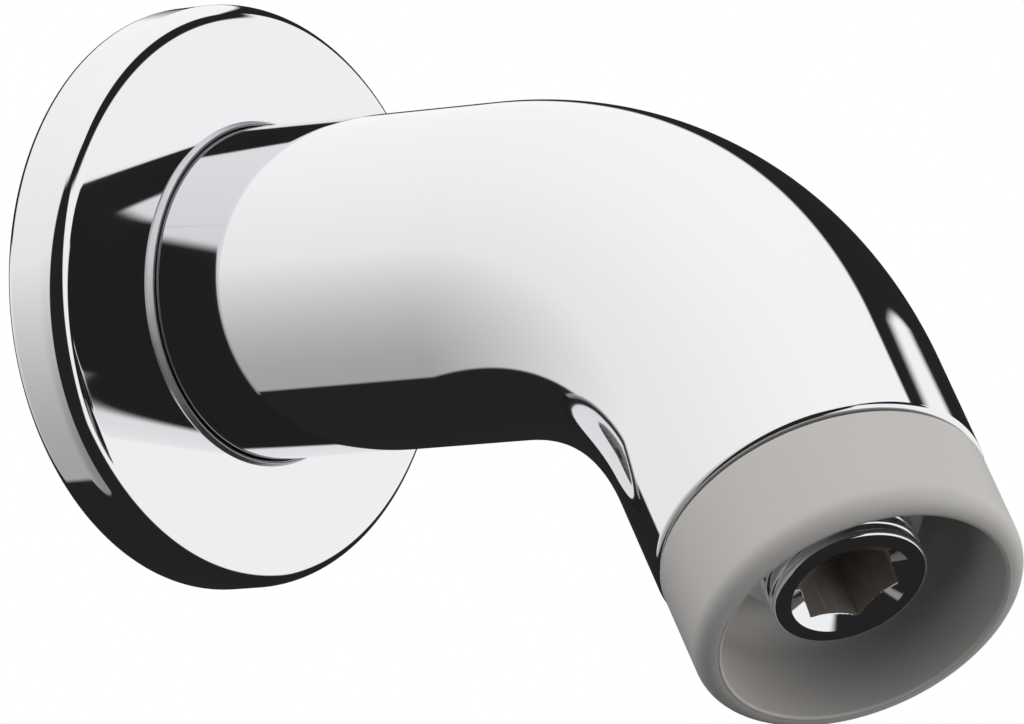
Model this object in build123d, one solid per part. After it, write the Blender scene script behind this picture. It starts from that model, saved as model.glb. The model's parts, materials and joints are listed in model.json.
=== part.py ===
from build123d import *
import math
import os

# Sizes are millimetres. The wall's surface is the plane Y = 0 and the origin is the centre of the arm there.
# Water flows out of the wall towards -Y, and the arm turns down towards -Z. X runs across the arm.

# Arm tube
tube_od = 45.0
tube_wall = 2.0
straight_length = 55.8  # wall's surface to the start of the bend
bend_radius = 62.5  # of the tube's centre line
bend_angle = 54.0  # degrees
outlet_length = 16.0  # end of the bend to the tube's end
tube_end_round = 0.8
wall_gap = 1.0  # the tube stops this far short of the wall

# Wall flange, a hollow cover ring with a hub that slides on the tube
flange_od = 79.0
flange_depth = 9.1  # at the outer edge
flange_crown = 1.75  # the face rises by this much from the outer edge to the lip
flange_wall = 2.0
flange_edge_round = 3.2
flange_back_round = 1.5
flange_inner_round = 1.2
flange_play = 0.2  # radial, between the hub and the tube
flange_lip_width = 0.65  # at its root
flange_lip_top = 0.35
flange_lip_height = 0.9
hub_wall = 2.0  # outside the seal's groove
hub_setback = 2.0  # the hub stops this far short of the wall

# Flange seal, an O-ring in the hub
flange_seal_section = 2.4
flange_seal_play = 0.05
flange_seal_side_gap = 0.2

# Threads, G 1/2 at both ends, drawn as plain cylinders of the outside diameter
thread_major_d = 20.955
thread_play = 0.05  # radial, between an engaged thread and its hole
thread_end_round = 0.6

# Inlet connector
inlet_reach = 16.0  # threaded length past the wall's surface
inlet_bore_d = 14.0
inlet_plug_length = 10.0
braze_gap = 0.05  # radial, between a plug and the tube

# End cup
cup_length = 16.0  # tube's end to the mouth
cup_inset = 0.2  # radial, from the tube's outside to the cup's
cup_wall = 3.1
cup_draft = 0.6  # radial, from the mouth to the floor
cup_lip_round = 2.6
cup_mouth_round = 0.4
cup_shoulder_round = 0.4
cup_floor = 3.5
cup_floor_round = 5.0
cup_spigot_length = 3.0  # the stretch that sits inside the tube
cup_spigot_play = 0.1  # radial
cup_seam_gap = 0.5
cup_hole_play = 0.2  # radial, round the nipple

# Outlet plug and the flat seal at the bottom of its threaded hole
outlet_plug_bend_gap = 0.5  # the plug stops this far short of the bend
outlet_plug_shoulder = 2.5
nipple_seal_thickness = 2.0
nipple_seal_play = 0.2  # radial

# Outlet nipple
nipple_inset = 5.0  # the nipple's rim lies this far inside the cup's mouth
nipple_shoulder_width = 2.5
nipple_shoulder_thickness = 2.0
nipple_bore_d = 10.0
hex_across_flats = 12.0
hex_depth = 10.0
hex_mouth_width = 1.2  # radial, from the hexagon's corners to the countersink's edge
hex_mouth_angle = 120.0  # degrees, of the countersink

# Worked out from the sizes above
tube_r = tube_od / 2
tube_bore_r = tube_r - tube_wall
plug_r = tube_bore_r - braze_gap
thread_r = thread_major_d / 2
thread_hole_r = thread_r + thread_play
bend = math.radians(bend_angle)
flow_out = (0, -math.cos(bend), -math.sin(bend))
bend_end = (0, -straight_length - bend_radius * math.sin(bend), -bend_radius * (1 - math.cos(bend)))

# Each plane's own Z is the way the water flows there
wall_plane = Plane(origin=(0, 0, 0), x_dir=(1, 0, 0), z_dir=(0, -1, 0))
bend_start_plane = wall_plane.offset(straight_length)
bend_end_plane = Plane(origin=bend_end, x_dir=(1, 0, 0), z_dir=flow_out)
tube_end_plane = bend_end_plane.offset(outlet_length)


def dome_middle(start, end):
    """The point halfway out on the arc from start to end whose centre lies on the axis."""
    height = (start[0] ** 2 - end[0] ** 2 + start[2] ** 2 - end[2] ** 2) / (2 * (start[2] - end[2]))
    dome_r = math.hypot(start[0], start[2] - height)
    middle_r = (start[0] + end[0]) / 2
    return (middle_r, 0, height + math.sqrt(dome_r**2 - middle_r**2))


def turned(corners, plane, domed_side=None):
    """A turned piece: corners are (radius, distance along the plane's Z, edge round).

    The side from corner number domed_side to the next one is part of a dome, the others are straight.
    """
    points = [(radius, 0, distance) for radius, distance, edge_round in corners]
    sides = []
    for number, start in enumerate(points):
        end = points[(number + 1) % len(points)]
        if number == domed_side:
            sides.append(ThreePointArc(start, dome_middle(start, end), end))
        else:
            sides.append(Line(start, end))
    profile = make_face(sides).face()
    for radius, distance, edge_round in corners:
        if edge_round > 0:
            corner = profile.vertices().sort_by_distance((radius, 0, distance))[0]
            profile = profile.fillet_2d(edge_round, [corner])
    return plane.location * revolve(profile, Axis.Z)


def o_ring(centre_radius, section, distance, plane):
    """A round-section ring about the plane's Z, centred the given distance along it."""
    return plane.offset(distance).location * Torus(centre_radius, section / 2)


def make_arm_tube():
    ring = Circle(tube_r) - Circle(tube_bore_r)
    straight = extrude(wall_plane.offset(wall_gap) * ring, straight_length - wall_gap)
    bend_axis = Axis((0, -straight_length, -bend_radius), (1, 0, 0))
    elbow = revolve(bend_start_plane * ring, bend_axis, bend_angle)
    outlet = extrude(bend_end_plane * ring, outlet_length)
    tube = straight + elbow + outlet
    end_edge = tube.edges().filter_by(GeomType.CIRCLE).sort_by_distance(tube_end_plane.origin)
    outer_edge = [edge for edge in end_edge[:2] if edge.radius > tube_bore_r + tube_wall / 2]
    return fillet(outer_edge, min(tube_end_round, tube_wall / 2))


flange_r = flange_od / 2
flange_bore_r = tube_r + flange_play
flange_seal_r = tube_r + flange_seal_play + flange_seal_section / 2
flange_groove_r = flange_seal_r + flange_seal_section / 2 + flange_seal_play
flange_seal_distance = (hub_setback + flange_depth) / 2


def make_wall_flange():
    rim_inner_r = flange_r - flange_wall
    plate_back = flange_depth - flange_wall
    hub_r = flange_groove_r + hub_wall
    lip_root_r = flange_bore_r + flange_lip_width
    lip_top_r = flange_bore_r + flange_lip_top
    face_front = flange_depth + flange_crown
    lip_front = face_front + flange_lip_height
    lip_round = min(flange_lip_top, flange_lip_height) / 2.5
    groove_half = flange_seal_section / 2 + flange_seal_side_gap
    corners = [
        (rim_inner_r, 0, 0),
        (flange_r, 0, flange_back_round),
        (flange_r, flange_depth, flange_edge_round),
        (lip_root_r, face_front, 0),
        (lip_top_r, lip_front, lip_round),
        (flange_bore_r, lip_front, lip_round),
        (flange_bore_r, flange_seal_distance + groove_half, 0),
        (flange_groove_r, flange_seal_distance + groove_half, 0),
        (flange_groove_r, flange_seal_distance - groove_half, 0),
        (flange_bore_r, flange_seal_distance - groove_half, 0),
        (flange_bore_r, hub_setback, 0),
        (hub_r, hub_setback, 0),
        (hub_r, plate_back, flange_inner_round),
        (rim_inner_r, plate_back, flange_inner_round),
    ]
    return turned(corners, wall_plane, domed_side=2)


def make_flange_seal():
    return o_ring(flange_seal_r, flange_seal_section, flange_seal_distance, wall_plane)


def make_inlet_connector():
    bore_r = inlet_bore_d / 2
    plug_end = wall_gap + inlet_plug_length
    corners = [
        (bore_r, -inlet_reach, 0),
        (thread_r, -inlet_reach, thread_end_round),
        (thread_r, wall_gap, 0),
        (plug_r, wall_gap, 0),
        (plug_r, plug_end, 0),
        (bore_r, plug_end, 0),
    ]
    return turned(corners, wall_plane)


# Distances along the outlet are counted from the tube's end, positive towards the mouth
plug_front = -cup_spigot_length
plug_back = -outlet_length + outlet_plug_bend_gap
seal_back = plug_back + outlet_plug_shoulder
nipple_back = seal_back + nipple_seal_thickness
cup_floor_top = cup_floor - cup_spigot_length
nipple_rim = cup_length - nipple_inset
shoulder_r = thread_r + nipple_shoulder_width


def make_outlet_plug():
    bore_r = nipple_bore_d / 2
    corners = [
        (thread_hole_r, plug_front, 0),
        (plug_r, plug_front, 0),
        (plug_r, plug_back, 0),
        (bore_r, plug_back, 0),
        (bore_r, seal_back, 0),
        (thread_hole_r, seal_back, 0),
    ]
    return turned(corners, tube_end_plane)


def make_nipple_seal():
    inner_r = nipple_bore_d / 2 + nipple_seal_play
    outer_r = thread_hole_r - nipple_seal_play
    corners = [
        (inner_r, seal_back, 0),
        (outer_r, seal_back, 0),
        (outer_r, nipple_back, 0),
        (inner_r, nipple_back, 0),
    ]
    return turned(corners, tube_end_plane)


def make_end_cup():
    cup_r = tube_r - cup_inset
    spigot_r = tube_bore_r - cup_spigot_play
    mouth_r = cup_r - cup_wall
    floor_r = mouth_r - cup_draft
    hole_r = thread_r + cup_hole_play
    floor_round = min(cup_floor_round, floor_r - shoulder_r - cup_hole_play)
    lip_round = min(cup_lip_round, cup_wall - cup_mouth_round)
    corners = [
        (hole_r, plug_front, 0),
        (spigot_r, plug_front, 0),
        (spigot_r, cup_seam_gap, 0),
        (cup_r, cup_seam_gap, cup_shoulder_round),
        (cup_r, cup_length, lip_round),
        (mouth_r, cup_length, cup_mouth_round),
        (floor_r, cup_floor_top, floor_round),
        (hole_r, cup_floor_top, 0),
    ]
    return turned(corners, tube_end_plane)


def make_outlet_nipple():
    bore_r = nipple_bore_d / 2
    shoulder_top = cup_floor_top + nipple_shoulder_thickness
    corners = [
        (bore_r, nipple_back, 0),
        (thread_r, nipple_back, thread_end_round),
        (thread_r, cup_floor_top, 0),
        (shoulder_r, cup_floor_top, 0),
        (shoulder_r, shoulder_top, 0),
        (thread_r, shoulder_top, 0),
        (thread_r, nipple_rim, thread_end_round),
        (bore_r, nipple_rim, 0),
    ]
    body = turned(corners, tube_end_plane)
    hexagon = RegularPolygon(hex_across_flats / 2, 6, major_radius=False, rotation=30)
    socket = extrude(tube_end_plane.offset(nipple_rim) * hexagon, -hex_depth)
    flat_r = hex_across_flats / 2
    mouth_r = flat_r / math.cos(math.pi / 6) + hex_mouth_width
    mouth_depth = (mouth_r - flat_r) / math.tan(math.radians(hex_mouth_angle / 2))
    mouth = Cone(flat_r, mouth_r, mouth_depth, align=(Align.CENTER, Align.CENTER, Align.MAX))
    return body - socket - tube_end_plane.offset(nipple_rim).location * mouth


nodes = {
    "wall_flange": make_wall_flange(),
    "flange_seal": make_flange_seal(),
    "arm_tube": make_arm_tube(),
    "inlet_connector": make_inlet_connector(),
    "outlet_plug": make_outlet_plug(),
    "nipple_seal": make_nipple_seal(),
    "end_cup": make_end_cup(),
    "outlet_nipple": make_outlet_nipple(),
}

os.makedirs("parts", exist_ok=True)
for name, piece in nodes.items():
    export_step(piece, f"parts/{name}.step")
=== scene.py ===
# %% [markdown]
# A wall shower arm in polished chrome: a thick tube comes out of a round wall flange, bends down, and ends
# in a grey satin cup with a threaded nipple inside. The solids of the arm are loaded as a fixed frame.
# A mirror shows every facet of a mesh, so each chrome piece gets a fine surface of its own here, worked out
# from the same sizes, and the loaded solid behind it is hidden.

# %% Load the frame
import json
import math
import bpy
import numpy as np
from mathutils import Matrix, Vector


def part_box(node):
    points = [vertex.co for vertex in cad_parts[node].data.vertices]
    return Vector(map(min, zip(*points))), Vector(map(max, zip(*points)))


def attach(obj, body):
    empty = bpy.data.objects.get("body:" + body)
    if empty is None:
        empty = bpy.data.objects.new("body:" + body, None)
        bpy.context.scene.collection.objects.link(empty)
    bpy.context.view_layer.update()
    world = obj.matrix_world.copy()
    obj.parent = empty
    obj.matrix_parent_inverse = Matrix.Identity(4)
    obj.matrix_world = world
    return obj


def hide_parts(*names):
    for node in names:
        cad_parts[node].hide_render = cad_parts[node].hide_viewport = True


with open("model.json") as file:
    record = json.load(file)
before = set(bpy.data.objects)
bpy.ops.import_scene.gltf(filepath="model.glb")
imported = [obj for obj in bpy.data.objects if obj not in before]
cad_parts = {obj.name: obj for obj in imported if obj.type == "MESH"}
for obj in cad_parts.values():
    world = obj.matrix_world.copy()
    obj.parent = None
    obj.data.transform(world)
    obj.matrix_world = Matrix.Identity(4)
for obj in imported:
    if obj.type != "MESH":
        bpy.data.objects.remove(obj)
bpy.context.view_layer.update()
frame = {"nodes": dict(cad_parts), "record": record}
MM = 0.001
print("solids:", sorted(frame["nodes"]))

# %% [markdown]
# What can be read from the frame is read from it: the radii from the boxes of the loaded solids, the thread
# and the outlet's direction from the record's mounts. The other sizes are the ones the solids were made to,
# named once here. The prints at each piece then show how far its box is from its solid's box.

# %% Sizes
mounts = {mount["name"]: mount for mount in frame["record"]["mounts"]}


def half_width(node):
    """Half of a solid's size across the arm, which is its largest radius."""
    low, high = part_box(node)
    return (high.x - low.x) / 2


tube_r = half_width("arm_tube")
flange_r = half_width("wall_flange")
cup_r = half_width("end_cup")
plug_r = half_width("inlet_connector")
shoulder_r = half_width("outlet_nipple")
thread_r = mounts["outlet_thread"]["dims"]["r_mm"] * MM
bore_r = mounts["outlet_waterway"]["dims"]["r_mm"] * MM
inlet_bore_r = mounts["inlet_waterway"]["dims"]["r_mm"] * MM
flow_out = np.array(mounts["outlet_thread"]["axis"], float)
bend_angle = math.atan2(-flow_out[2], -flow_out[1])

tube_wall = 2.0 * MM
tube_end_round = 0.8 * MM
straight_length = 55.8 * MM
bend_radius = 62.5 * MM
outlet_length = 16.0 * MM
wall_gap = 1.0 * MM
bend_length = bend_radius * bend_angle
tube_length = straight_length + bend_length + outlet_length
print(f"tube {2 * tube_r / MM:.1f} mm, flange {2 * flange_r / MM:.1f} mm")
print(f"bend {math.degrees(bend_angle):.1f} degrees, tube {tube_length / MM:.1f} mm long")

# %% [markdown]
# Every piece is a grid of points: rows follow an outline, columns go round. The grid is closed both ways,
# so the mesh is one watertight skin. Outlines are written as corners with an edge round, as on a turner's
# drawing, and a curved run may stand between them as ready points. Where a straight run meets an arc, one
# more point close to the arc keeps the shading of the long run true. A mirror finish would give it away at
# once if it were not.

# %% Grids and outlines
COLUMNS = 240
ARC_STEPS = 12
KEEP = 0.12 * MM


def rounded(corners):
    """Closed outline: a corner (radius, distance, round) becomes an arc tangent to both its sides.

    A corner without a round stays sharp, and an array in the list is a ready run of points.
    """
    ready = [corner if isinstance(corner, np.ndarray) else np.array([corner[:2]]) for corner in corners]
    runs = []
    for index, corner in enumerate(corners):
        if isinstance(corner, np.ndarray):
            runs.append(corner)
            continue
        here = ready[index][0]
        before = ready[index - 1][-1] - here
        after = ready[(index + 1) % len(ready)][0] - here
        before = before / np.linalg.norm(before)
        after = after / np.linalg.norm(after)
        if corner[2] == 0:
            runs.append(np.array([here + before * KEEP, here, here + after * KEEP]))
            continue
        half = math.acos(np.clip(before @ after, -1, 1)) / 2
        reach = corner[2] / math.tan(half)
        inward = (before + after) / np.linalg.norm(before + after)
        centre = here + inward * corner[2] / math.sin(half)
        turn = math.pi - 2 * half
        share = np.linspace(0, 1, ARC_STEPS + 1)[:, None]
        first = here + before * reach - centre
        last = here + after * reach - centre
        arc = (np.sin((1 - share) * turn) * first + np.sin(share * turn) * last) / math.sin(turn)
        keepers = here + np.array([before, after]) * (reach + KEEP)
        runs.append(np.concatenate([keepers[:1], centre + arc, keepers[1:]]))
    return np.concatenate(runs)


def skin(name, grid, sharp_degrees=34):
    """Closed mesh over a grid of points (rows, columns, xyz), wrapped round both ways.

    A volume below zero means that the faces look inwards, and then they are turned over.
    """
    rows, columns = grid.shape[:2]
    index = np.arange(rows * columns).reshape(rows, columns)
    right = np.roll(index, -1, 1)
    below = np.roll(index, -1, 0)
    corner = np.roll(right, -1, 0)
    quads = np.stack([index, right, corner, below], -1).reshape(-1, 4)
    points = grid.reshape(-1, 3)
    a, b, c, d = (points[quads[:, k]] for k in range(4))
    volume = np.einsum("ij,ij->", a, np.cross(b, c) + np.cross(c, d)) / 6
    if volume < 0:
        quads = quads[:, ::-1]
    mesh = bpy.data.meshes.new(name)
    mesh.from_pydata(points.tolist(), [], quads.tolist())
    mesh.shade_smooth()
    mesh.set_sharp_from_angle(angle=math.radians(sharp_degrees))
    piece = bpy.data.objects.new(name, mesh)
    bpy.context.scene.collection.objects.link(piece)
    print(f"{name}: {len(quads)} quads, {abs(volume) * 1e6:.2f} cm3")
    return piece


def stands_for(piece, node, body):
    """Puts a piece on its body in place of a solid, and prints how far their boxes differ."""
    low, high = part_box(node)
    points = np.array([vertex.co for vertex in piece.data.vertices])
    gap = max(np.abs(points.min(0) - low).max(), np.abs(points.max(0) - high).max())
    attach(piece, body)
    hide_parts(node)
    print(f"{piece.name} stands for {node}, boxes within {gap / MM:.3f} mm")


# %% [markdown]
# Two straight axes carry all turned pieces: the wall's, along -Y, and the outlet's, along the way the water
# leaves. A turned piece is its outline carried round one of them: the column's angle gives the direction
# away from the axis, the outline gives how far away and how far along.

# %% Axes and turned pieces
ACROSS = np.array([1.0, 0.0, 0.0])
angles = np.linspace(0, 2 * math.pi, COLUMNS, endpoint=False)


def centre_line(along):
    """The tube's middle at a length from the wall: straight, then an arc, then straight again."""
    turned_by = np.clip((along - straight_length) / bend_radius, 0, bend_angle)
    rest = np.maximum(along - straight_length - bend_length, 0)
    y = -np.minimum(along, straight_length) - bend_radius * np.sin(turned_by) - rest * math.cos(bend_angle)
    z = -bend_radius * (1 - np.cos(turned_by)) - rest * math.sin(bend_angle)
    upward = np.stack([0 * along, -np.sin(turned_by), np.cos(turned_by)], -1)
    return np.stack([0 * along, y, z], -1), upward


tube_end, outlet_up = (row[0] for row in centre_line(np.array([tube_length])))
wall_axis = (np.zeros(3), np.array([0.0, -1.0, 0.0]), np.array([0.0, 0.0, 1.0]))
outlet_axis = (tube_end, flow_out, outlet_up)


def carried_round(radius, distance, axis):
    """Points at a radius (rows, columns) and a distance (rows) along an axis, at the columns' angles."""
    origin, direction, upward = axis
    away = np.cos(angles)[:, None] * ACROSS + np.sin(angles)[:, None] * upward
    return origin + distance[:, None, None] * direction + radius[..., None] * away


def turned(name, corners, axis):
    """A piece of revolution: the rounded outline of its corners, the same at every angle."""
    outline = rounded(corners)
    radius = np.repeat(outline[:, :1], COLUMNS, 1)
    return skin(name, carried_round(radius, outline[:, 1], axis))


print("tube ends at", (tube_end / MM).round(1), "mm")

# %% [markdown]
# The arm is one brass tube, bent on a mandrel and plated. Its skin is a ring carried along the centre line:
# out along the outside, round the small edge at its end, and back along the bore. The bend needs a row
# every degree or less, the straight runs need almost none.

# %% Arm tube
BEND_ROWS = 96
STRAIGHT_ROWS = 12
END_ROWS = 4
bore_of_tube = tube_r - tube_wall
bend_rows = straight_length + bend_length * np.linspace(0, 1, BEND_ROWS)
straight_rows = np.linspace(wall_gap + KEEP, straight_length - KEEP, STRAIGHT_ROWS)
end_rows = np.linspace(bend_rows[-1] + KEEP, tube_length - tube_end_round - KEEP, END_ROWS)
outside = np.concatenate([[wall_gap], straight_rows, bend_rows, end_rows])
quarter = np.linspace(0, math.pi / 2, ARC_STEPS)
edge_along = tube_length - tube_end_round * (1 - np.sin(quarter))
edge_radius = tube_r - tube_end_round * (1 - np.cos(quarter))
inside = np.concatenate([[tube_length, tube_length - KEEP], bend_rows[::-1], [wall_gap + KEEP, wall_gap]])
along = np.concatenate([outside, edge_along, inside])
radius = np.concatenate([np.full(len(outside), tube_r), edge_radius, np.full(len(inside), bore_of_tube)])
middle, upward = centre_line(along)
away = np.cos(angles)[:, None] * ACROSS + np.sin(angles)[:, None] * upward[:, None, :]
tube = skin("arm_tube_skin", middle[:, None, :] + radius[:, None, None] * away)
stands_for(tube, "arm_tube", "arm")

# %% [markdown]
# The wall flange is a shallow cover ring, open at the back, with a hub that slides on the tube. Its face is
# slightly domed: the mirror image of the tube in it shrinks towards the rim. A fine tapered lip stands up
# round the tube, the bright thread of light that marks where the tube goes in.

# %% Wall flange
flange_depth = 9.1 * MM
flange_crown = 1.75 * MM
flange_wall = 2.0 * MM
edge_round = 3.2 * MM
back_round = 1.5 * MM
inner_round = 1.2 * MM
hub_setback = 2.0 * MM
hub_wall = 2.0 * MM
hub_play = 0.2 * MM
lip_width = 0.65 * MM
lip_top_width = 0.35 * MM
lip_height = 0.9 * MM
lip_round = 0.14 * MM
groove_depth = 2.5 * MM
groove_half = 1.4 * MM
hub_bore_r = tube_r + hub_play
lip_root_r = hub_bore_r + lip_width
lip_top_r = hub_bore_r + lip_top_width
groove_r = tube_r + groove_depth
hub_r = groove_r + hub_wall
groove_middle = (hub_setback + flange_depth) / 2
face_front = flange_depth + flange_crown
DOME_ROWS = 48


def domed_face():
    """The face's outline: an arc tangent to the side and to the dome, then the dome in to the lip.

    The dome is a circle about a point on the axis, through the outer edge's corner and the lip's root.
    """
    squares = flange_r**2 - lip_root_r**2 + flange_depth**2 - face_front**2
    middle = squares / (2 * (flange_depth - face_front))
    dome_r = math.hypot(flange_r, flange_depth - middle)
    arc_r = flange_r - edge_round
    arc_middle = middle + math.sqrt((dome_r - edge_round) ** 2 - arc_r**2)
    lean = np.linspace(0, math.atan2(arc_middle - middle, arc_r), 2 * ARC_STEPS)
    arc = np.stack([arc_r + edge_round * np.cos(lean), arc_middle + edge_round * np.sin(lean)], 1)
    inwards = np.linspace(arc[-1, 0], lip_root_r, DOME_ROWS)
    dome = np.stack([inwards, middle + np.sqrt(dome_r**2 - inwards**2)], 1)
    below = arc[:1] - [[0, KEEP]]
    print(f"dome radius {dome_r / MM:.0f} mm, rise {flange_crown / MM:.2f} mm")
    return np.concatenate([below, arc, dome[1:]])


flange_corners = [
    (flange_r - flange_wall, 0, 0),
    (flange_r, 0, back_round),
    domed_face(),
    (lip_top_r, face_front + lip_height, lip_round),
    (hub_bore_r, face_front + lip_height, lip_round),
    (hub_bore_r, groove_middle + groove_half, 0),
    (groove_r, groove_middle + groove_half, 0),
    (groove_r, groove_middle - groove_half, 0),
    (hub_bore_r, groove_middle - groove_half, 0),
    (hub_bore_r, hub_setback, 0),
    (hub_r, hub_setback, 0),
    (hub_r, flange_depth - flange_wall, inner_round),
    (flange_r - flange_wall, flange_depth - flange_wall, inner_round),
]
flange = turned("wall_flange_skin", flange_corners, wall_axis)
stands_for(flange, "wall_flange", "flange")
on_lip = np.repeat(rounded(flange_corners)[:, 1] > face_front - KEEP / 100, COLUMNS)
print("faces on the lip:", np.count_nonzero(on_lip))

# %% [markdown]
# The cup is moulded in grey plastic. It sits on the tube's end with a short spigot inside it, and its lip is
# nearly a half round. Inside it widens a little towards the mouth, so that it leaves the mould, and its floor
# runs into the wall in a large round.

# %% End cup
cup_length = 16.0 * MM
cup_wall = 3.1 * MM
cup_draft = 0.6 * MM
cup_floor_top = 0.5 * MM
cup_spigot = 3.0 * MM
seam_gap = 0.5 * MM
spigot_play = 0.1 * MM
cup_hole_play = 0.2 * MM
shoulder_round = 0.4 * MM
cup_lip_round = 2.6 * MM
cup_mouth_round = 0.4 * MM
cup_floor_round = 5.0 * MM
spigot_r = bore_of_tube - spigot_play
cup_mouth_r = cup_r - cup_wall
cup_hole_r = thread_r + cup_hole_play
cup_corners = [
    (cup_hole_r, -cup_spigot, 0),
    (spigot_r, -cup_spigot, 0),
    (spigot_r, seam_gap, 0),
    (cup_r, seam_gap, shoulder_round),
    (cup_r, cup_length, cup_lip_round),
    (cup_mouth_r, cup_length, cup_mouth_round),
    (cup_mouth_r - cup_draft, cup_floor_top, cup_floor_round),
    (cup_hole_r, cup_floor_top, 0),
]
cup = turned("end_cup_skin", cup_corners, outlet_axis)
stands_for(cup, "end_cup", "arm")

# %% [markdown]
# Both ends carry a G 1/2 pipe thread: 14 turns to the inch, flanks at 55 degrees, rounded tops and roots. On
# a grid it is a radius that depends on the distance along and the angle: one full turn shifts the groove by
# one pitch. The groove fades out towards a rounded lead-in at the end and a run-out at the root.

# %% Pipe thread
PITCH = 25.4 * MM / 14
GROOVE = 0.6403 * PITCH
END_ROUND = 0.6 * MM
CREST = 1 / 8
RUN_OUT = 1.2 * PITCH
LEAD_IN = 0.9 * PITCH
PLAIN_END = 0.4 * PITCH
print(f"pitch {PITCH / MM:.3f} mm, groove {GROOVE / MM:.3f} mm deep")


def ease(value, start, end):
    """0 before start, 1 after end, and a smooth S between."""
    share = np.clip((value - start) / (end - start), 0, 1)
    return share * share * (3 - 2 * share)


def thread_rows(root, tip, count):
    """Distances from a thread's root to its tip: even steps, then the steps of the round at its end."""
    outward = math.copysign(1, tip - root)
    even = np.linspace(root + outward * KEEP, tip - outward * END_ROUND, count)
    return np.concatenate([even, tip - outward * END_ROUND * (1 - np.sin(quarter[1:]))])


def thread_radius(distance, root, tip):
    """Radius (rows, columns) of a right-hand thread between its root and its tip along the distance.

    The groove is cut into the outside radius, and the last stretch is a quarter of a circle down to the rim.
    """
    turn = distance[:, None] / PITCH - angles / (2 * math.pi)
    slope = np.abs(2 * (turn % 1) - 1)
    groove = GROOVE * ease(slope, CREST, 1 - CREST)
    way = abs(tip - root)
    from_root = np.abs(distance - root)[:, None]
    fade = ease(from_root, 0, RUN_OUT) * (1 - ease(from_root, way - LEAD_IN, way - PLAIN_END))
    into_round = np.clip((from_root - way) / END_ROUND + 1, 0, 1)
    drop = END_ROUND * (1 - np.sqrt(1 - into_round**2))
    return thread_r - np.maximum(groove * fade, drop)


# %% [markdown]
# The nipple screws into the tube's end through the cup's floor and clamps the cup with its shoulder. Water
# comes out through a hexagon socket for a 12 mm key. The socket's wall is the wider of a hexagon and a
# countersink cone at each angle, which gives the scalloped facets at its mouth.

# %% Outlet nipple
THREAD_ROWS = 150
SOCKET_ROWS = 28
THREAD_SHARP = 28
nipple_inset = 5.0 * MM
plug_bend_gap = 0.5 * MM
plug_shoulder = 2.5 * MM
seal_thickness = 2.0 * MM
shoulder_thickness = 2.0 * MM
broken_edge = 0.25 * MM
hex_flat_r = 6.0 * MM
hex_depth = 10.0 * MM
hex_mouth_width = 1.2 * MM
hex_mouth_lean = math.radians(60)
nipple_rim = cup_length - nipple_inset
nipple_back = -outlet_length + plug_bend_gap + plug_shoulder + seal_thickness
shoulder_top = cup_floor_top + shoulder_thickness
mouth_r = hex_flat_r / math.cos(math.pi / 6) + hex_mouth_width
mouth_depth = (mouth_r - hex_flat_r) / math.tan(hex_mouth_lean)


def plain_rows(pairs):
    """Rows with one radius at every angle, from (radius, distance) pairs."""
    pairs = np.array(pairs)
    return np.repeat(pairs[:, :1], COLUMNS, 1), pairs[:, 1]


thread_along = thread_rows(shoulder_top, nipple_rim, THREAD_ROWS)
down = np.concatenate([np.linspace(0, mouth_depth, SOCKET_ROWS), [hex_depth - KEEP, hex_depth]])
hexagon = hex_flat_r / np.cos((angles + math.pi / 6) % (math.pi / 3) - math.pi / 6)
cone = mouth_r + (hex_flat_r - mouth_r) * down / mouth_depth
arc = END_ROUND * (1 - np.stack([np.sin(quarter), np.cos(quarter)], 1)) * [-1, 1]
rows = [
    plain_rows([
        (bore_r, nipple_back),
        *((thread_r, nipple_back) + arc),
        (thread_r, cup_floor_top),
        (shoulder_r - broken_edge, cup_floor_top),
        (shoulder_r, cup_floor_top + broken_edge),
        (shoulder_r, shoulder_top - broken_edge),
        (shoulder_r - broken_edge, shoulder_top),
        (thread_r, shoulder_top),
    ]),
    (thread_radius(thread_along, shoulder_top, nipple_rim), thread_along),
    plain_rows([(thread_r - END_ROUND - KEEP, nipple_rim), (mouth_r + KEEP, nipple_rim)]),
    (np.maximum(hexagon, cone[:, None]), nipple_rim - down),
    plain_rows([
        (bore_r, nipple_rim - hex_depth),
        (bore_r, nipple_rim - hex_depth - KEEP),
        (bore_r, nipple_back + KEEP),
    ]),
]
radius, distance = (np.concatenate(part) for part in zip(*rows))
nipple = skin("outlet_nipple_skin", carried_round(radius, distance, outlet_axis), THREAD_SHARP)
stands_for(nipple, "outlet_nipple", "arm")
in_socket = (radius <= hexagon) & (np.arange(len(radius)) >= len(radius) - len(down) - 3)[:, None]
print("faces in the socket:", np.count_nonzero(in_socket))

# %% [markdown]
# The inlet connector is a plain turned brass plug in the wall end of the tube, with the thread that goes into
# the pipe in the wall. It is bare metal: nobody sees it once the arm is up.

# %% Inlet connector
inlet_reach = 16.0 * MM
inlet_plug_length = 10.0 * MM
plug_end = wall_gap + inlet_plug_length
inlet_along = thread_rows(wall_gap, -inlet_reach, 2 * THREAD_ROWS)[::-1]
rows = [
    plain_rows([
        (inlet_bore_r, -inlet_reach),
        (thread_r - END_ROUND - KEEP, -inlet_reach),
    ]),
    (thread_radius(inlet_along, wall_gap, -inlet_reach), inlet_along),
    plain_rows([
        (thread_r, wall_gap),
        (plug_r - broken_edge, wall_gap),
        (plug_r, wall_gap + broken_edge),
        (plug_r, plug_end),
        (inlet_bore_r, plug_end),
        (inlet_bore_r, plug_end - KEEP),
        (inlet_bore_r, -inlet_reach + KEEP),
    ]),
]
radius, distance = (np.concatenate(part) for part in zip(*rows))
inlet = skin("inlet_connector_skin", carried_round(radius, distance, wall_axis), THREAD_SHARP)
stands_for(inlet, "inlet_connector", "arm")

# %% [markdown]
# Finishes. One small function adds a node with its settings and its inputs, each a value or another node's
# output. Colours are written as on a colour chart, and one function turns them into the linear light values
# that the shader works in. Patterns are laid on the object in metres, so a pattern's scale is one over its
# size.

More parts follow.
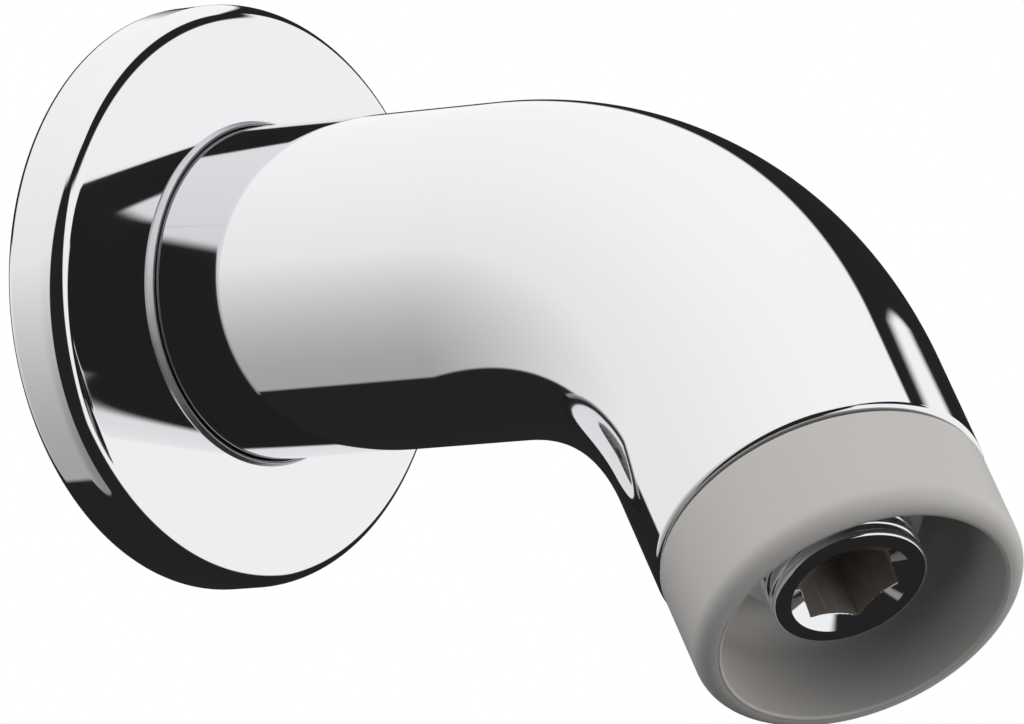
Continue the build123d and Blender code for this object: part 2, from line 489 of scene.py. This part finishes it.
# %% Finish helpers


def linear(hex_colour):
    """sRGB hex to linear RGBA: each channel is raised by the sRGB curve."""
    channels = np.array([int(hex_colour[k:k + 2], 16) for k in (1, 3, 5)]) / 255
    low = channels / 12.92
    high = ((channels + 0.055) / 1.055) ** 2.4
    return (*np.where(channels <= 0.04045, low, high), 1.0)


def add(tree, kind, inputs=None, **settings):
    """Adds one node: settings are its properties, and each input is a value or another node's output."""
    node = tree.nodes.new(kind)
    for name, setting in settings.items():
        setattr(node, name, setting)
    for socket, source in (inputs or {}).items():
        if isinstance(source, bpy.types.NodeSocket):
            tree.links.new(source, node.inputs[socket])
        else:
            node.inputs[socket].default_value = source
    return node


def new_finish(name):
    """A material with an empty tree, and the place on the object that its patterns are laid on."""
    material = bpy.data.materials.new(name)
    material.use_nodes = True
    material.node_tree.nodes.clear()
    place = add(material.node_tree, "ShaderNodeTexCoord").outputs["Object"]
    return material, material.node_tree, place


def wear(material, surface, *pieces):
    """Ends a material with its surface shader and puts it after the materials that each piece already has."""
    add(material.node_tree, "ShaderNodeOutputMaterial", {"Surface": surface.outputs["BSDF"]})
    for piece in pieces:
        piece.data.materials.append(material)
    print(material.name, "on", [piece.name for piece in pieces])


for solid in frame["nodes"].values():
    solid.data.materials.clear()


# %% [markdown]
# Bright chrome plate on polished brass. Chromium gives back some three quarters of the light, with a slightly
# cool cast, and the plating follows the buffed metal under it: a mirror with a very slow waviness of a
# centimetre or so and the faintest haze that comes and goes.

# %% Chrome plate
WAVE = 14 * MM
HAZE = 9 * MM
chrome, tree, place = new_finish("chrome_plate")
haze = add(tree, "ShaderNodeTexNoise", {"Vector": place, "Scale": 1 / HAZE, "Detail": 3.0})
gloss = add(tree, "ShaderNodeMapRange", {"Value": haze.outputs["Fac"], "To Min": 0.02, "To Max": 0.05})
wave = add(tree, "ShaderNodeTexNoise", {"Vector": place, "Scale": 1 / WAVE, "Detail": 1.0})
buffed = add(tree, "ShaderNodeBump", {"Height": wave.outputs["Fac"], "Strength": 0.02, "Distance": 0.2 * MM})
mirror = add(tree, "ShaderNodeBsdfPrincipled", {
    "Base Color": linear("#E6E6E8"),
    "Metallic": 1.0,
    "Roughness": gloss.outputs["Result"],
    "Normal": buffed.outputs["Normal"],
})
wear(chrome, mirror, tube, flange, nipple)

# %% [markdown]
# The buffing wheel cannot get into the corner at the flange's lip, so the plate stays satin there: the same
# metal, but rougher, which turns the sharp lines of the room into one soft grey ring. It is a second material
# on the flange, and each face takes it by its place in the grid.

# %% Satin lip
BUFF = 1.5 * MM
satin_plate, tree, place = new_finish("satin_chrome_plate")
marks = add(tree, "ShaderNodeTexNoise", {"Vector": place, "Scale": 1 / BUFF, "Detail": 2.0})
rough = add(tree, "ShaderNodeMapRange", {"Value": marks.outputs["Fac"], "To Min": 0.3, "To Max": 0.42})
unbuffed = add(tree, "ShaderNodeBsdfPrincipled", {
    "Base Color": linear("#D9D9DC"),
    "Metallic": 1.0,
    "Roughness": rough.outputs["Result"],
})
wear(satin_plate, unbuffed, flange)
flange.data.polygons.foreach_set("material_index", on_lip.astype(np.int32))

# %% [markdown]
# The plating current hardly reaches into a narrow socket. Its walls keep a dull, dark film over the brass, a
# warm grey that spreads what light it gives back, so it is no mirror. It is the nipple's second material.

# %% Dull socket
STAIN = 2 * MM
film, tree, place = new_finish("dull_socket_film")
stain = add(tree, "ShaderNodeTexNoise", {"Vector": place, "Scale": 1 / STAIN, "Detail": 2.0})
shade = add(tree, "ShaderNodeMix", {
    "Factor": stain.outputs["Fac"],
    "A": linear("#A39A91"),
    "B": linear("#8E857C"),
}, data_type="RGBA")
worn = add(tree, "ShaderNodeMapRange", {"Value": stain.outputs["Fac"], "To Min": 0.5, "To Max": 0.65})
thin = add(tree, "ShaderNodeBsdfPrincipled", {
    "Base Color": shade.outputs["Result"],
    "Roughness": worn.outputs["Result"],
})
wear(film, thin, nipple)
nipple.data.polygons.foreach_set("material_index", in_socket.ravel().astype(np.int32))

# %% [markdown]
# Satin moulded plastic for the cup, a light warm grey. The mould was spark-eroded to a fine grain, which
# spreads the highlights. The real grain is about a tenth of a millimetre, drawn here at a quarter so that it
# shows.

# %% Grey plastic
GRAIN = 0.25 * MM
CLOUD = 12 * MM
plastic, tree, place = new_finish("satin_grey_plastic")
cloud = add(tree, "ShaderNodeTexNoise", {"Vector": place, "Scale": 1 / CLOUD, "Detail": 2.0})
grey = add(tree, "ShaderNodeMix", {
    "Factor": cloud.outputs["Fac"],
    "A": linear("#C4C1BE"),
    "B": linear("#BFBCB9"),
}, data_type="RGBA")
grain = add(tree, "ShaderNodeTexNoise", {"Vector": place, "Scale": 1 / GRAIN, "Detail": 2.0})
spark = add(tree, "ShaderNodeBump", {"Height": grain.outputs["Fac"], "Strength": 0.15, "Distance": 0.03 * MM})
satin = add(tree, "ShaderNodeMapRange", {"Value": cloud.outputs["Fac"], "To Min": 0.42, "To Max": 0.52})
moulded = add(tree, "ShaderNodeBsdfPrincipled", {
    "Base Color": grey.outputs["Result"],
    "Roughness": satin.outputs["Result"],
    "Normal": spark.outputs["Normal"],
})
wear(plastic, moulded, cup)

# %% [markdown]
# Bare turned brass, dulled by the air, with the fine rings that the tool leaves. The rings are 0.2 mm apart.

# %% Bare brass
RING = 0.2 * MM
TARNISH = 6 * MM
brass, tree, place = new_finish("turned_brass")
spots = add(tree, "ShaderNodeTexNoise", {"Vector": place, "Scale": 1 / TARNISH, "Detail": 4.0})
tone = add(tree, "ShaderNodeMix", {
    "Factor": spots.outputs["Fac"],
    "A": linear("#D9B978"),
    "B": linear("#B48A4A"),
}, data_type="RGBA")
rings = add(tree, "ShaderNodeTexWave", {"Vector": place, "Scale": 1 / (20 * RING)}, bands_direction="Y")
cut = add(tree, "ShaderNodeBump", {"Height": rings.outputs["Fac"], "Strength": 0.1, "Distance": 0.02 * MM})
dull = add(tree, "ShaderNodeMapRange", {"Value": spots.outputs["Fac"], "To Min": 0.25, "To Max": 0.45})
bare = add(tree, "ShaderNodeBsdfPrincipled", {
    "Base Color": tone.outputs["Result"],
    "Metallic": 1.0,
    "Roughness": dull.outputs["Result"],
    "Normal": cut.outputs["Normal"],
})
wear(brass, bare, inlet, frame["nodes"]["outlet_plug"])

# %% [markdown]
# Black moulded rubber for the two seals: nearly matt, with a little bloom in patches.

# %% Rubber
BLOOM = 3 * MM
rubber, tree, place = new_finish("seal_rubber")
bloom = add(tree, "ShaderNodeTexNoise", {"Vector": place, "Scale": 1 / BLOOM, "Detail": 3.0})
black = add(tree, "ShaderNodeMix", {
    "Factor": bloom.outputs["Fac"],
    "A": linear("#1B1B1C"),
    "B": linear("#2A2A2B"),
}, data_type="RGBA")
matt = add(tree, "ShaderNodeMapRange", {"Value": bloom.outputs["Fac"], "To Min": 0.55, "To Max": 0.75})
moulded = add(tree, "ShaderNodeBsdfPrincipled", {
    "Base Color": black.outputs["Result"],
    "Roughness": matt.outputs["Result"],
})
wear(rubber, moulded, frame["nodes"]["flange_seal"], frame["nodes"]["nipple_seal"])

# %% [markdown]
# The studio. Chrome has no colour of its own: it shows the room, and every dark line on it is a gap in the
# room. Three white cards stand in a dark room: a ceiling, a backdrop on the left that darkens towards the
# floor, and a screen in front on the right. A black flag behind the arm draws the thin dark outline on the
# flange's back edge. A direction is on a card when it is inside all the card's edges. Each edge is a circle
# on the sky: all that lies within so many degrees of one direction.

# %% Cards and flag
world = bpy.data.worlds.new("studio")
bpy.context.scene.world = world
world.use_nodes = True
tree = world.node_tree
tree.nodes.clear()
sky = add(tree, "ShaderNodeTexCoord").outputs["Generated"]


def toward(azimuth, elevation):
    """Unit vector at an azimuth, in degrees from +Y (the wall) towards +X, and an elevation above level."""
    side, rise = math.radians(azimuth), math.radians(elevation)
    return np.array([math.sin(side) * math.cos(rise), math.cos(side) * math.cos(rise), math.sin(rise)])


def card(*edges):
    """1 on a card, 0 off it: the product of its edges, each (azimuth, elevation, reach, blur) in degrees."""
    inside = 1.0
    for azimuth, elevation, reach, blur in edges:
        middle = toward(azimuth, elevation)
        along = add(tree, "ShaderNodeVectorMath", {0: sky, 1: middle}, operation="DOT_PRODUCT")
        share = add(tree, "ShaderNodeMapRange", {
            "Value": along.outputs["Value"],
            "From Min": math.cos(math.radians(reach + blur)),
            "From Max": math.cos(math.radians(reach - blur)),
        }, interpolation_type="SMOOTHSTEP")
        both = add(tree, "ShaderNodeMath", {0: inside, 1: share.outputs[0]}, operation="MULTIPLY")
        inside = both.outputs[0]
    return inside


ceiling = card(
    (2, 82, 73, 3),
    (-79, -2, 119, 1),
    (-37, 0, 117, 1),
    (-18, 37, 102, 1),
)
backdrop = card(
    (-86, 0, 89, 1),
    (13, 25, 121.5, 2),
    (0, -90, 114, 1),
)
screen = card(
    (84, 10, 107, 2),
    (151, -21, 89, 1),
    (138, -29, 89, 1),
    (18, -62, 138, 2),
    (-173, 72, 104, 2),
    (-132, 26, 130, 2),
)
flag = card(
    (10, 5, 37, 1),
    (0, 90, 82, 2),
)
print("nodes in the cards and the flag:", len(tree.nodes))

# %% [markdown]
# The lamps hang high, so the white behind the arm is brightest overhead and falls off towards the floor: two
# straight slopes over the height of the direction, one below level and a gentle one above. The camera alone
# sees plain white, and all else is lit by the cards.

# %% Room light
LOWEST = -0.95
FOOT = 0.30
WALL = 0.98
OVERHEAD = 0.15
SCREEN = 1.08
BLACK = 0.02
height = add(tree, "ShaderNodeSeparateXYZ", {0: sky}).outputs["Z"]
below = add(tree, "ShaderNodeMapRange", {
    "Value": height,
    "From Min": LOWEST,
    "From Max": 0.0,
    "To Min": FOOT,
    "To Max": WALL,
})
above = add(tree, "ShaderNodeMapRange", {"Value": height, "To Max": OVERHEAD})
slopes = add(tree, "ShaderNodeMath", {0: below.outputs[0], 1: above.outputs[0]}, operation="ADD")
white = add(tree, "ShaderNodeMath", {0: ceiling, 1: backdrop}, operation="MAXIMUM")
lit = add(tree, "ShaderNodeMath", {0: white.outputs[0], 1: slopes.outputs[0]}, operation="MULTIPLY")
unflagged = add(tree, "ShaderNodeMath", {0: 1.0, 1: flag}, operation="SUBTRACT")
behind = add(tree, "ShaderNodeMath", {0: lit.outputs[0], 1: unflagged.outputs[0]}, operation="MULTIPLY")
beside = add(tree, "ShaderNodeMath", {0: screen, 1: SCREEN}, operation="MULTIPLY")
cards = add(tree, "ShaderNodeMath", {0: behind.outputs[0], 1: beside.outputs[0]}, operation="MAXIMUM")
room = add(tree, "ShaderNodeMath", {0: cards.outputs[0], 1: BLACK}, operation="MAXIMUM")
path = add(tree, "ShaderNodeLightPath")
strength = add(tree, "ShaderNodeMix", {
    "Factor": path.outputs["Is Camera Ray"],
    "A": room.outputs[0],
    "B": 1.0,
})
light = add(tree, "ShaderNodeBackground", {"Color": linear("#FFFFFF"), "Strength": strength.outputs[0]})
add(tree, "ShaderNodeOutputWorld", {"Surface": light.outputs["Background"]})
print("room nodes:", len(tree.nodes))

# %% [markdown]
# The floor is a plain pale sheet well below the arm, because the camera looks up at it. The mirror rays pass
# it, so the chrome shows the cards alone. Two softboxes light what is matt: the key in front on the left
# throws the arm's shadow on the floor, and the fill in front on the right, a little below, looks into the
# cup.

# %% Floor and softboxes
FLOOR_DEPTH = 0.55
FLOOR_HALF = 6.0
FLOOR_LINES = 9
MOTTLE = 0.3
ends = np.linspace(-FLOOR_HALF, FLOOR_HALF, FLOOR_LINES)
across, deep = np.meshgrid(ends, ends)
sheet = np.stack([across, deep, np.full_like(across, -FLOOR_DEPTH)], -1)
index = np.arange(sheet[..., 0].size).reshape(across.shape)
tiles = np.stack([index[:-1, :-1], index[:-1, 1:], index[1:, 1:], index[1:, :-1]], -1).reshape(-1, 4)
floor_mesh = bpy.data.meshes.new("floor")
floor_mesh.from_pydata(sheet.reshape(-1, 3).tolist(), [], tiles.tolist())
floor = bpy.data.objects.new("floor", floor_mesh)
bpy.context.scene.collection.objects.link(floor)
floor.visible_glossy = False
floor.visible_diffuse = False
pale, tree, place = new_finish("pale_floor")
mottle = add(tree, "ShaderNodeTexNoise", {"Vector": place, "Scale": 1 / MOTTLE, "Detail": 2.0})
tint = add(tree, "ShaderNodeMix", {
    "Factor": mottle.outputs["Fac"],
    "A": linear("#F1F1F0"),
    "B": linear("#EEEEEE"),
}, data_type="RGBA")
paper = add(tree, "ShaderNodeBsdfPrincipled", {"Base Color": tint.outputs["Result"], "Roughness": 0.9})
wear(pale, paper, floor)

KEY_WATTS = 3.0
KEY_SIZE = 0.7
KEY_PLACE = np.array([-0.7, -0.75, 0.55])
FILL_WATTS = 2.0
FILL_SIZE = 0.6
FILL_PLACE = np.array([0.45, -0.95, -0.35])
LIT_POINT = np.array([0.0, -0.1, -0.03])


def softbox(name, watts, size, place):
    """A round lamp at a place, turned so that its back points away from the arm, unseen by mirrors."""
    lamp = bpy.data.lights.new(name, "AREA")
    lamp.shape = "DISK"
    lamp.size = size
    lamp.energy = watts
    box = bpy.data.objects.new(name, lamp)
    bpy.context.scene.collection.objects.link(box)
    box.location = place
    box.visible_glossy = False
    back = (place - LIT_POINT) / np.linalg.norm(place - LIT_POINT)
    box.rotation_euler = (math.acos(back[2]), 0, math.atan2(back[1], back[0]) + math.pi / 2)
    print(name, watts, "W at", place)


softbox("key", KEY_WATTS, KEY_SIZE, KEY_PLACE)
softbox("fill", FILL_WATTS, FILL_SIZE, FILL_PLACE)

# %% [markdown]
# The camera stands far off with a long lens, in front, to the left and a little below the arm, and is rolled
# by some nine degrees. Its frame is three axes: back along the line of sight, right, and up.

# %% Camera
CAMERA_AZIMUTH = math.radians(-47.27)
CAMERA_ELEVATION = math.radians(-15.80)
CAMERA_ROLL = math.radians(9.31)
CAMERA_DISTANCE = 1.525
CAMERA_AIM = np.array([3.2, -54.8, -11.6]) * MM
LENS = 405.2
SENSOR = 36.0
SIGHT_END = 100.0
back = np.array([
    math.sin(CAMERA_AZIMUTH) * math.cos(CAMERA_ELEVATION),
    -math.cos(CAMERA_AZIMUTH) * math.cos(CAMERA_ELEVATION),
    math.sin(CAMERA_ELEVATION),
])
level = np.array([math.cos(CAMERA_AZIMUTH), math.sin(CAMERA_AZIMUTH), 0.0])
upright = np.cross(back, level)
right = math.cos(CAMERA_ROLL) * level + math.sin(CAMERA_ROLL) * upright
up = np.cross(back, right)
pose = np.eye(4)
pose[:3, :3] = np.stack([right, up, back], 1)
pose[:3, 3] = CAMERA_AIM + CAMERA_DISTANCE * back
lens = bpy.data.cameras.new("camera")
lens.lens = LENS
lens.sensor_width = SENSOR
lens.clip_end = SIGHT_END
camera = bpy.data.objects.new("camera", lens)
bpy.context.scene.collection.objects.link(camera)
camera.matrix_world = pose.T.tolist()
bpy.context.scene.camera = camera
bpy.context.scene.view_settings.view_transform = "Standard"
print("camera at", pose[:3, 3].round(3))
